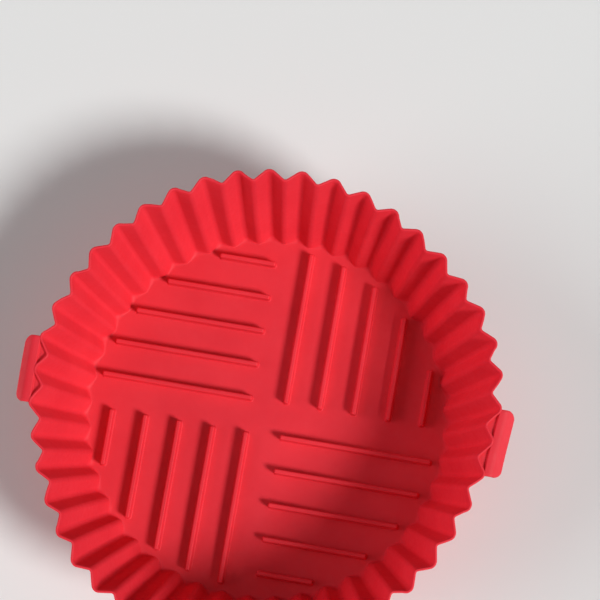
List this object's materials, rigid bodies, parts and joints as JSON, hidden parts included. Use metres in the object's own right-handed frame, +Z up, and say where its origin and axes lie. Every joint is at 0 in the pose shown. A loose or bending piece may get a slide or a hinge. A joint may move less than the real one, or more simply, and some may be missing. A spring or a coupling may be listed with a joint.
{
  "type": "air fryer liner",
  "caption": "Round pleated silicone liner for an air fryer basket, with drainage ribs in a pinwheel on its floor and an ear handle at each side of the rim.",
  "frame": {"origin": "centre of the flat underside of the floor, on the table plane", "axes": "+Z up out of the cup, the two handles on the X axis, +Y across them"},
  "size_m": [0.2126, 0.1998, 0.056],
  "materials": {
    "silicone": "satin red silicone"
  },
  "bodies": {
    "root": {"liner": "silicone"}
  },
  "joints": []
}
